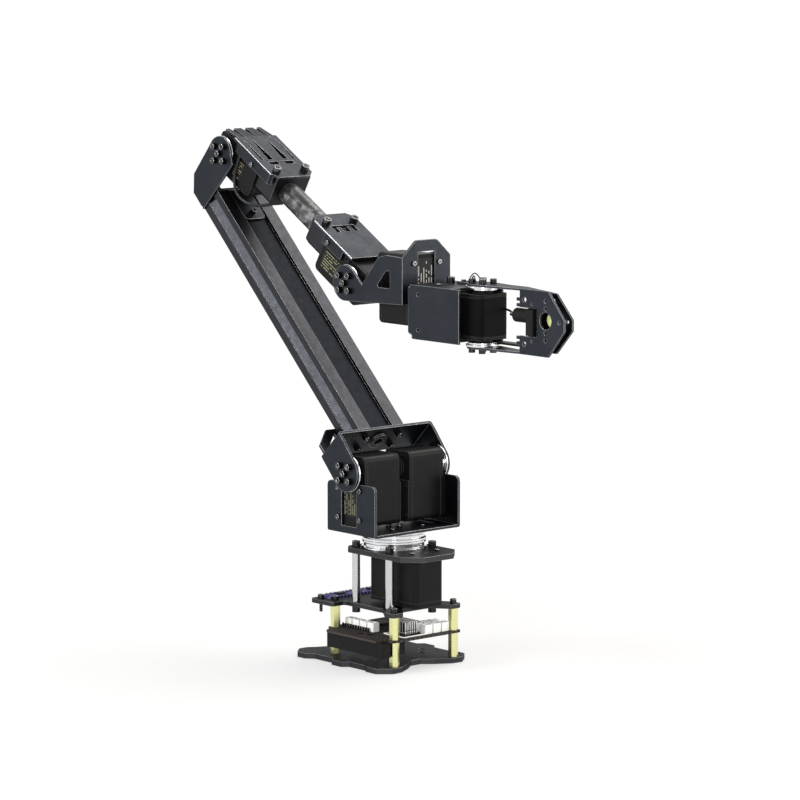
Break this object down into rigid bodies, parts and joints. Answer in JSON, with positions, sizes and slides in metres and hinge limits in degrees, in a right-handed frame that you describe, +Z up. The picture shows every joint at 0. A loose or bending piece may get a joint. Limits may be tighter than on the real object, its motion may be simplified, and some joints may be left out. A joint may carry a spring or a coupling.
{
  "type": "servo robot arm",
  "caption": "Desktop servo arm: lobed base stack with turntable, servo shoulder, profile upper arm, tube forearm, pitching and rolling wrist, and a plate gripper with a swinging jaw.",
  "frame": {"origin": "on the turntable axis at the underside of the base plate", "axes": "+X along the reach of the arm towards the gripper, +Y to the left of the reach, +Z up"},
  "size_m": [0.49, 0.1214, 0.4825],
  "materials": {
    "black_sheet": "black anodised bent sheet, satin",
    "black_plate": "black coated plate, satin",
    "servo_black": "black moulded servo case, satin",
    "servo_cover_black": "black moulded servo cover, satin",
    "chrome": "bright plated metal",
    "brass": "pale brass, turned",
    "steel": "bare turned metal",
    "black_screw": "black oxide socket screw",
    "board_dark": "dark printed board",
    "board_blue": "blue printed board",
    "white_plastic": "white moulded connector",
    "dark_fins": "black anodised fins",
    "black_box": "black moulded box",
    "carbon": "mottled black composite tube, glossy",
    "grey_block": "dark grey machined block",
    "cable": "black cable sheath",
    "yellow_pad": "yellow soft pad"
  },
  "bodies": {
    "base": {"base_plate": "black_plate", "lower_standoffs": "brass", "control_board": "board_dark", "board_connectors": "white_plastic", "board_heat_sink": "dark_fins", "power_box": "black_box", "upper_standoffs": "brass", "upper_deck": "black_plate", "rear_board": "board_blue", "pillars": "steel", "top_plate": "black_plate", "base_screws": "black_screw", "base_servo_case": "servo_black", "base_servo_covers": "servo_cover_black", "lower_race": "chrome"},
    "turret": {"upper_race": "chrome", "base_horn": "chrome", "shoulder_bracket": "black_sheet", "bracket_screws": "black_screw", "shoulder_servo_cases": "servo_black", "shoulder_servo_covers": "servo_cover_black"},
    "upper_arm": {"shoulder_yoke": "black_sheet", "shoulder_horns": "chrome", "shoulder_horn_screws": "black_screw", "yoke_bolts": "black_screw", "arm_extrusion": "black_sheet", "elbow_bracket": "black_sheet", "elbow_bolts": "black_screw", "elbow_horns": "chrome", "elbow_horn_screws": "black_screw"},
    "forearm": {"elbow_servo_case": "servo_black", "elbow_servo_covers": "servo_cover_black", "elbow_hood": "black_sheet", "elbow_clamp": "grey_block", "wrist_clamp": "grey_block", "forearm_tube": "carbon", "wrist_cap": "black_sheet", "wrist_servo_case": "servo_black", "wrist_servo_covers": "servo_cover_black", "forearm_screws": "black_screw", "elbow_cable": "cable"},
    "wrist": {"wrist_yoke": "black_sheet", "wrist_horns": "chrome", "wrist_horn_screws": "black_screw", "roll_servo_case": "servo_black", "roll_servo_covers": "servo_cover_black", "roll_screws": "black_screw"},
    "hand": {"roll_horn": "chrome", "roll_horn_screws": "black_screw", "gripper_bracket": "black_sheet", "gripper_servo_case": "servo_black", "gripper_servo_covers": "servo_cover_black", "gripper_screws": "black_screw", "fixed_jaw": "black_sheet", "tip_sensor": "black_box", "jaw_pad": "yellow_pad", "sensor_lead": "cable"},
    "moving_jaw_body": {"moving_jaw": "black_sheet", "gripper_horns": "chrome", "gripper_horn_screws": "black_screw"}
  },
  "joints": [
    {"name": "base_yaw", "type": "hinge", "parent": "base", "child": "turret", "pos_m": [0, 0, 0.115], "axis": [0, 0, 1], "range_deg": [-135, 135]},
    {"name": "shoulder_pitch", "type": "hinge", "parent": "turret", "child": "upper_arm", "pos_m": [-0.003, 0, 0.18], "axis": [0, 1, 0], "range_deg": [-30, 100]},
    {"name": "elbow_pitch", "type": "hinge", "parent": "upper_arm", "child": "forearm", "pos_m": [-0.21867, 0, 0.45931], "axis": [0, 1, 0], "range_deg": [-100, 8]},
    {"name": "wrist_pitch", "type": "hinge", "parent": "forearm", "child": "wrist", "pos_m": [-0.03554, 0, 0.35014], "axis": [0, -1, 0], "range_deg": [-45, 60]},
    {"name": "wrist_roll", "type": "hinge", "parent": "wrist", "child": "hand", "pos_m": [0.04996, 0, 0.33084], "axis": [1, 0, 0], "range_deg": [-120, 120]},
    {"name": "jaw_swing", "type": "hinge", "parent": "hand", "child": "moving_jaw_body", "pos_m": [0.11996, 0, 0.33084], "axis": [0, 0, -1], "range_deg": [-2, 60]}
  ]
}
